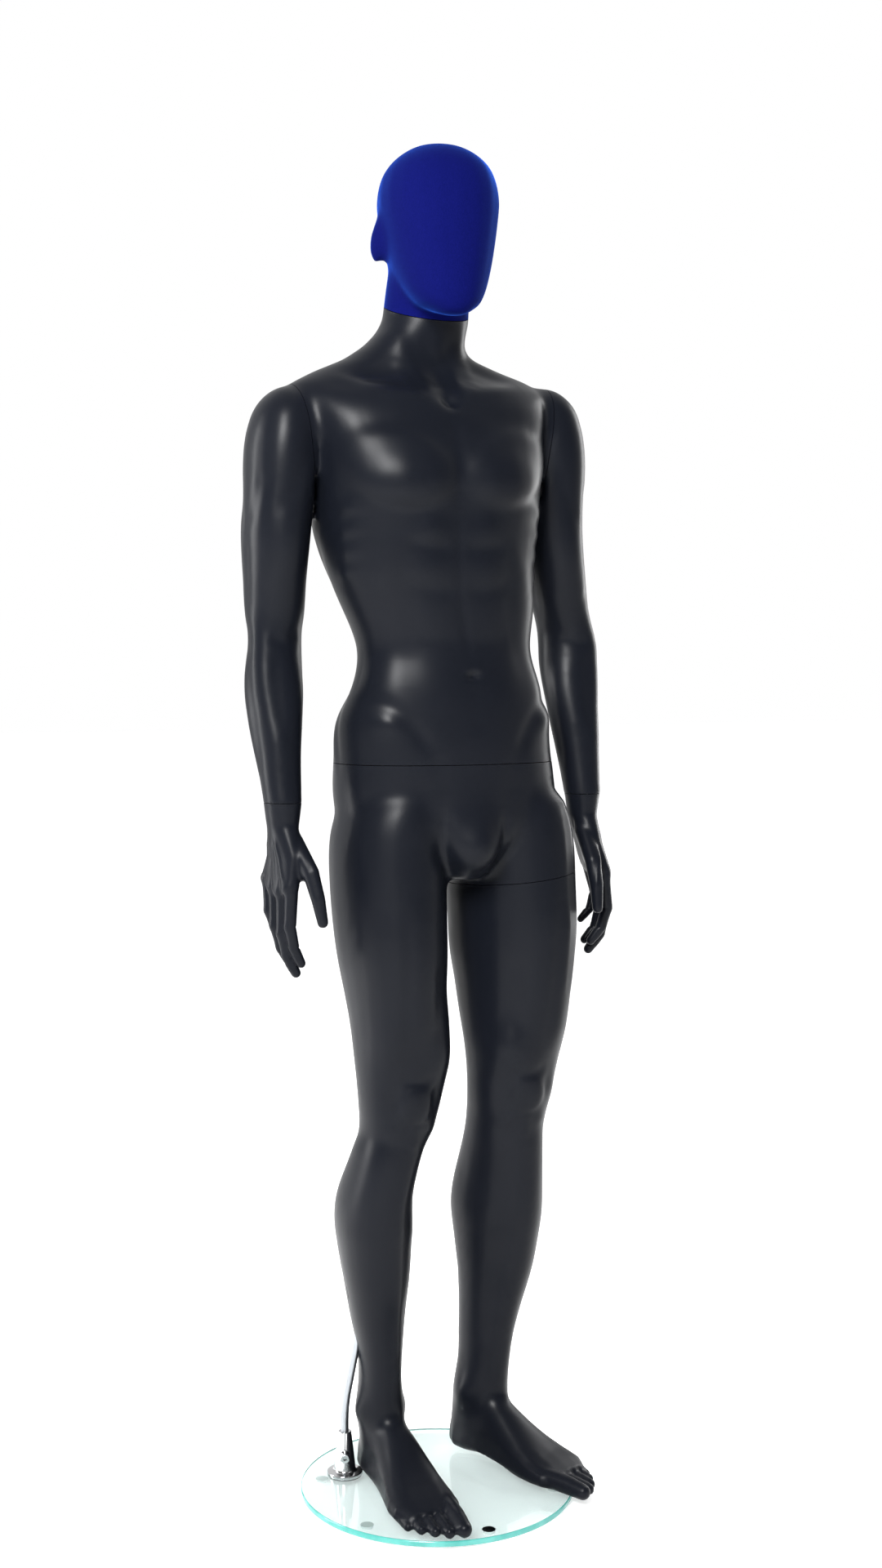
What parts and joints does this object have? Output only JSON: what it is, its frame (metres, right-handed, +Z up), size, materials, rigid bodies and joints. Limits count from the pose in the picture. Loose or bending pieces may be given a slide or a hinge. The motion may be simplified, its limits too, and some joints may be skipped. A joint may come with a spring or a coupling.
{
  "type": "full body mannequin",
  "caption": "Standing full body figure with a smooth faceless covered head, parted limbs and torso, on a round glass base with a calf rod.",
  "frame": {"origin": "centre of the round glass base, on the floor", "axes": "+Z up, the figure faces -Y, its left hand is at +X"},
  "size_m": [0.5351, 0.38, 1.8426],
  "materials": {
    "body_black": "satin black moulded shell",
    "velvet": "royal blue velvet",
    "glass": "clear toughened glass with a green edge",
    "chrome": "polished",
    "steel": "satin",
    "board": "plain board",
    "clear_rubber": "soft clear pads",
    "black_rubber": "matte"
  },
  "bodies": {
    "base": {"glass_base": "glass", "base_pads": "clear_rubber", "rod_clamp": "chrome", "flange_gasket": "black_rubber", "base_bolt": "steel", "base_washer": "steel"},
    "screw": {"clamp_screw": "chrome"},
    "rod": {"calf_rod": "steel"},
    "lower_body": {"lower_body_shell": "body_black", "pelvis_plate": "board", "waist_spigot": "steel", "waist_spigot_screws": "steel", "calf_socket_tube": "steel", "calf_collars": "board", "hip_plate": "board", "thigh_stud": "steel", "thigh_stud_screws": "steel"},
    "left_leg": {"left_leg_shell": "body_black", "left_leg_plate": "board", "thigh_socket": "steel", "thigh_socket_screws": "steel"},
    "torso": {"torso_shell": "body_black", "torso_waist_plate": "board", "waist_socket": "steel", "waist_socket_screws": "steel", "neck_plate": "board", "neck_stud": "steel", "neck_stud_screws": "steel", "left_shoulder_plate": "board", "right_shoulder_plate": "board", "left_shoulder_socket": "steel", "right_shoulder_socket": "steel", "shoulder_screws": "steel"},
    "left_arm": {"left_arm_shell": "body_black", "left_arm_plate": "board", "left_arm_stud": "steel", "left_arm_screws": "steel", "left_wrist_socket": "steel"},
    "right_arm": {"right_arm_shell": "body_black", "right_arm_plate": "board", "right_arm_stud": "steel", "right_arm_screws": "steel", "right_wrist_socket": "steel"},
    "left_hand_body": {"left_hand": "body_black", "left_wrist_pin": "steel"},
    "right_hand_body": {"right_hand": "body_black", "right_wrist_pin": "steel"},
    "head": {"head_core": "body_black", "head_plate": "board", "head_socket": "steel", "head_cover": "velvet"}
  },
  "joints": [
    {"name": "clamp_screw_turn", "type": "hinge", "parent": "base", "child": "screw", "pos_m": [-0.108, 0.075, 0.044], "axis": [-0.3746, -0.9272, 0], "continuous": true},
    {"name": "rod_adjust", "type": "slide", "parent": "base", "child": "rod", "axis": [0, 0, 1], "range_m": [0, 0.02]},
    {"name": "lift_off_base", "type": "slide", "parent": "rod", "child": "lower_body", "axis": [0.1618, -0.1011, 0.9816], "range_m": [0, 0.1]},
    {"name": "left_leg_turn", "type": "hinge", "parent": "lower_body", "child": "left_leg", "pos_m": [0.11177, 0.00227, 0.8571], "axis": [-0.1219, 0, 0.9925], "range_deg": [0, 25]},
    {"name": "torso_lift", "type": "slide", "parent": "lower_body", "child": "torso", "axis": [0, 0, 1], "range_m": [0, 0.07]},
    {"name": "head_turn", "type": "hinge", "parent": "torso", "child": "head", "pos_m": [-0.004, 0.027, 1.6261], "axis": [0, -0.3256, 0.9455], "range_deg": [-70, 70]},
    {"name": "right_arm_swing", "type": "hinge", "parent": "torso", "child": "right_arm", "pos_m": [-0.195, 0.02, 1.4547], "axis": [-0.9903, 0, -0.1392], "range_deg": [0, 90]},
    {"name": "left_arm_swing", "type": "hinge", "parent": "torso", "child": "left_arm", "pos_m": [0.161, 0.02, 1.4725], "axis": [-0.9903, 0, 0.1392], "range_deg": [0, 90]},
    {"name": "right_hand_turn", "type": "hinge", "parent": "right_arm", "child": "right_hand_body", "pos_m": [-0.22396, 0.00093, 0.9681], "axis": [0, 0, 1], "range_deg": [-90, 90]},
    {"name": "left_hand_turn", "type": "hinge", "parent": "left_arm", "child": "left_hand_body", "pos_m": [0.22721, 0.00093, 0.9681], "axis": [0, 0, 1], "range_deg": [-15, 90]}
  ]
}
